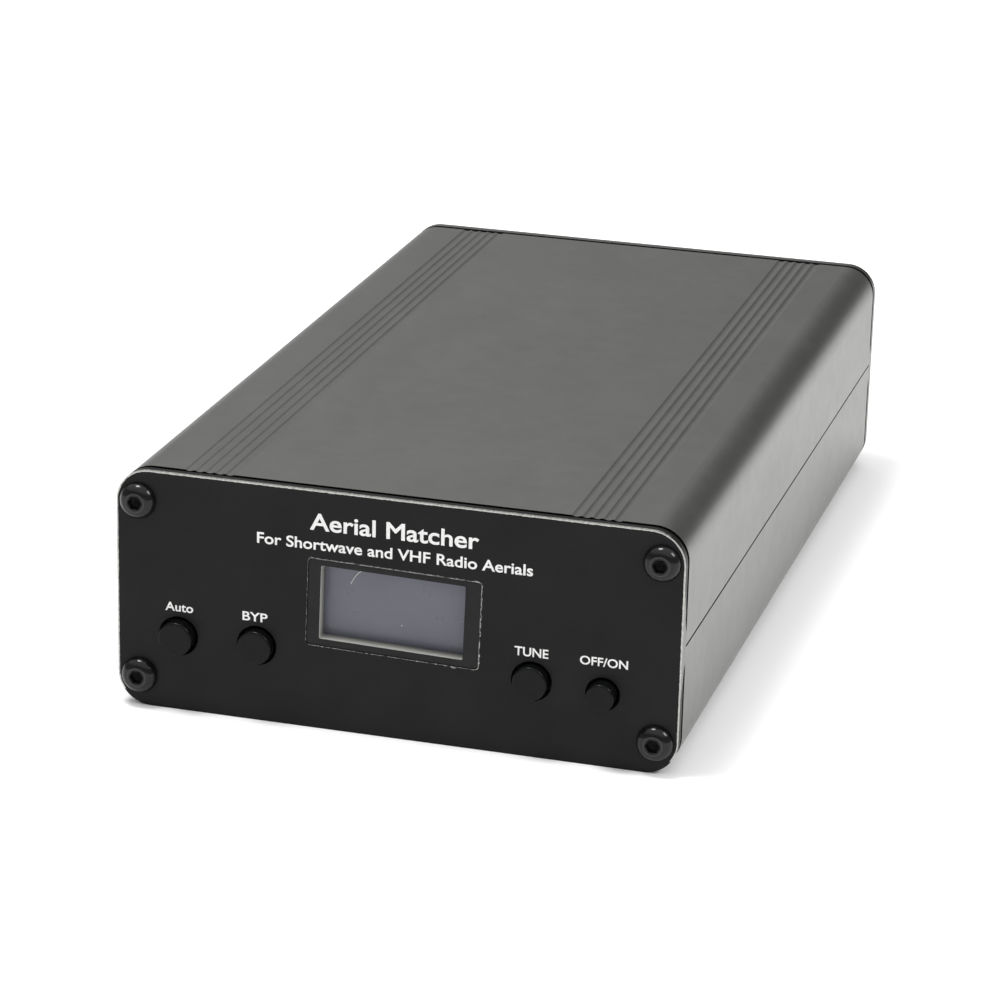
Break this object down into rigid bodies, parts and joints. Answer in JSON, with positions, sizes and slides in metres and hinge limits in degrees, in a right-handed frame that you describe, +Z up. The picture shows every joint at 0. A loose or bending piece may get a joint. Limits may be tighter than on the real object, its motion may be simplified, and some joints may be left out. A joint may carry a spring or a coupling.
{
  "type": "antenna tuner",
  "caption": "Compact automatic antenna tuner in a split extruded aluminium case, with push buttons and a small display in front and coaxial sockets and a power jack behind.",
  "frame": {"origin": "middle of the case on its bottom face, halfway between the outer faces of the two end panels", "axes": "+X to the right seen from the front, +Y from the front panel to the rear sockets, +Z up"},
  "size_m": [0.088, 0.1672, 0.038],
  "materials": {
    "case_aluminium": "matte grey anodised",
    "panel_aluminium": "satin black anodised, bare cut edge",
    "black_steel": "black oxide, glossy",
    "button_plastic": "black, satin",
    "bezel_laminate": "black face, pale core",
    "screen_film": "lavender grey, soft gloss",
    "screen_glass": "clear",
    "circuit_board": "green solder mask",
    "display_board": "blue solder mask",
    "component_plastic": "black moulded",
    "relay_case": "blue moulded",
    "tinned_steel": "tinned",
    "iron_powder_core": "red coated",
    "ferrite_core": "dark grey sintered",
    "enamelled_copper": "enamelled copper wire",
    "capacitor_ceramic": "dipped ceramic",
    "capacitor_sleeve": "shrunk sleeve",
    "nickel_plate": "bright nickel plate",
    "white_insulator": "white moulded",
    "gold_contact": "gold flash",
    "red_wire": "insulated wire",
    "copper_line": "solid copper"
  },
  "bodies": {
    "case": {"lower_case_shell": "case_aluminium", "upper_case_shell": "case_aluminium", "front_panel": "panel_aluminium", "rear_panel": "panel_aluminium", "front_panel_screws": "black_steel", "rear_panel_screws": "black_steel", "display_bezel": "bezel_laminate", "oled_film": "screen_film", "oled_glass": "screen_glass", "oled_board": "display_board", "oled_header": "component_plastic", "main_board": "circuit_board", "tact_switch_bodies": "component_plastic", "tact_switch_domes": "tinned_steel", "tact_switch_brackets": "tinned_steel", "power_switch_body": "component_plastic", "power_switch_frame": "tinned_steel", "power_switch_spring": "tinned_steel", "power_switch_latch_pin": "tinned_steel", "capacitor_relays": "relay_case", "inductor_relays": "relay_case", "bypass_relays": "relay_case", "air_coils": "enamelled_copper", "toroid_cores": "iron_powder_core", "toroid_windings": "enamelled_copper", "coupler_cores": "ferrite_core", "coupler_windings": "enamelled_copper", "coupler_line": "copper_line", "tuning_capacitors": "capacitor_ceramic", "microcontroller": "component_plastic", "relay_drivers": "component_plastic", "voltage_regulator": "component_plastic", "electrolytic_capacitors": "capacitor_sleeve", "programming_header": "component_plastic", "socket_screws": "nickel_plate", "socket_nuts": "nickel_plate", "power_jack_body": "nickel_plate", "power_jack_insulator": "component_plastic", "power_jack_pin": "nickel_plate", "power_jack_tab": "tinned_steel", "power_jack_nut": "nickel_plate", "input_lead": "copper_line", "antenna_lead": "copper_line", "power_leads": "red_wire", "input_socket_shell": "nickel_plate", "input_socket_insulator": "white_insulator", "input_socket_contact": "gold_contact", "antenna_socket_shell": "nickel_plate", "antenna_socket_insulator": "white_insulator", "antenna_socket_contact": "gold_contact"},
    "auto_button": {"auto_button_cap": "button_plastic", "auto_switch_plunger": "white_insulator"},
    "bypass_button": {"bypass_button_cap": "button_plastic", "bypass_switch_plunger": "white_insulator"},
    "tune_button": {"tune_button_cap": "button_plastic", "tune_switch_plunger": "white_insulator"},
    "power_button": {"power_button_cap": "button_plastic", "power_switch_plunger": "white_insulator"}
  },
  "joints": [
    {"name": "auto_press", "type": "slide", "parent": "case", "child": "auto_button", "axis": [0, 1, 0], "range_m": [0, 0.00025], "stiffness_N_per_m": 1000, "springref_m": -0.0015},
    {"name": "bypass_press", "type": "slide", "parent": "case", "child": "bypass_button", "axis": [0, 1, 0], "range_m": [0, 0.00025], "stiffness_N_per_m": 1000, "springref_m": -0.0015},
    {"name": "tune_press", "type": "slide", "parent": "case", "child": "tune_button", "axis": [0, 1, 0], "range_m": [0, 0.00025], "stiffness_N_per_m": 1000, "springref_m": -0.0015},
    {"name": "power_press", "type": "slide", "parent": "case", "child": "power_button", "axis": [0, 1, 0], "range_m": [0, 0.0019], "stiffness_N_per_m": 500, "springref_m": -0.002, "deforming": ["power_switch_spring"]}
  ]
}
